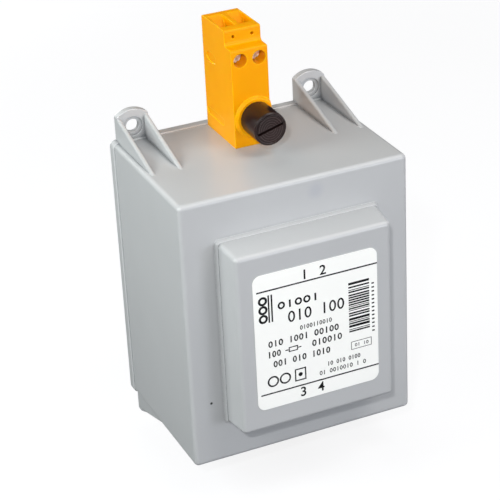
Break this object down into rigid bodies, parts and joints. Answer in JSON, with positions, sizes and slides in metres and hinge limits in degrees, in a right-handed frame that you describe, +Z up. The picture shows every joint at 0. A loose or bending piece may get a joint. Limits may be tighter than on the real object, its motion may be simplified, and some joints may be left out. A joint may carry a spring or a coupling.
{
  "type": "din rail transformer",
  "caption": "Encapsulated mains transformer in a grey case with mounting ears, a fused terminal block on top, a low one below, and a sprung clip for a 35 mm rail.",
  "frame": {"origin": "middle of the four ear holes, on the case's flat rear face", "axes": "+Z up the rail's face to the tall terminal block, -Y to the front, +X to the right"},
  "size_m": [0.076, 0.0736, 0.1408],
  "materials": {
    "grey_abs": "satin",
    "orange_polyamide": "satin",
    "black_polyamide": "satin",
    "label_film": "satin",
    "zinc_steel": "satin",
    "nickel_steel": "polished",
    "lamination_steel": "matte",
    "bobbin_nylon": "matte",
    "copper_wire": "satin",
    "yellow_tape": "satin",
    "brass": "satin",
    "fuse_glass": "clear",
    "fuse_plating": "polished",
    "lead_pvc": "satin"
  },
  "bodies": {
    "housing": {"case": "grey_abs", "rear_cover": "grey_abs", "primary_terminal_block": "orange_polyamide", "secondary_terminal_block": "orange_polyamide", "rail_bracket": "black_polyamide", "label": "label_film", "cover_screws": "zinc_steel", "bracket_screws": "zinc_steel", "latch_spring": "zinc_steel", "primary_terminal_screws": "nickel_steel", "secondary_terminal_screws": "nickel_steel", "e_laminations": "lamination_steel", "i_laminations": "lamination_steel", "bobbin": "bobbin_nylon", "primary_winding": "copper_wire", "secondary_winding": "copper_wire", "primary_tape": "yellow_tape", "secondary_tape": "yellow_tape", "primary_clamp_left": "brass", "primary_clamp_right": "brass", "secondary_clamp_left": "brass", "secondary_clamp_right": "brass", "fuse_front_contact": "brass", "fuse_rear_contact": "brass", "line_lead": "lead_pvc", "neutral_lead": "lead_pvc", "secondary_lead_left": "lead_pvc", "secondary_lead_right": "lead_pvc"},
    "fuse_carrier": {"fuse_sleeve": "brass", "fuse_glass": "fuse_glass", "fuse_end_caps": "fuse_plating", "fuse_wire": "fuse_plating"},
    "fuse_cap": {"fuse_cap": "black_polyamide"},
    "rail_latch": {"rail_latch": "black_polyamide"}
  },
  "joints": [
    {"name": "fuse_pull", "type": "slide", "parent": "housing", "child": "fuse_carrier", "axis": [0, -1, 0], "range_m": [0, 0.025]},
    {"name": "cap_turn", "type": "hinge", "parent": "fuse_carrier", "child": "fuse_cap", "pos_m": [0.0012, -0.03, 0.0538], "axis": [0, -1, 0], "range_deg": [0, 90]},
    {"name": "latch_pull", "type": "slide", "parent": "housing", "child": "rail_latch", "axis": [0, 0, -1], "range_m": [0, 0.006], "stiffness_N_per_m": 1500, "springref_m": -0.003, "deforming": ["latch_spring"]}
  ]
}
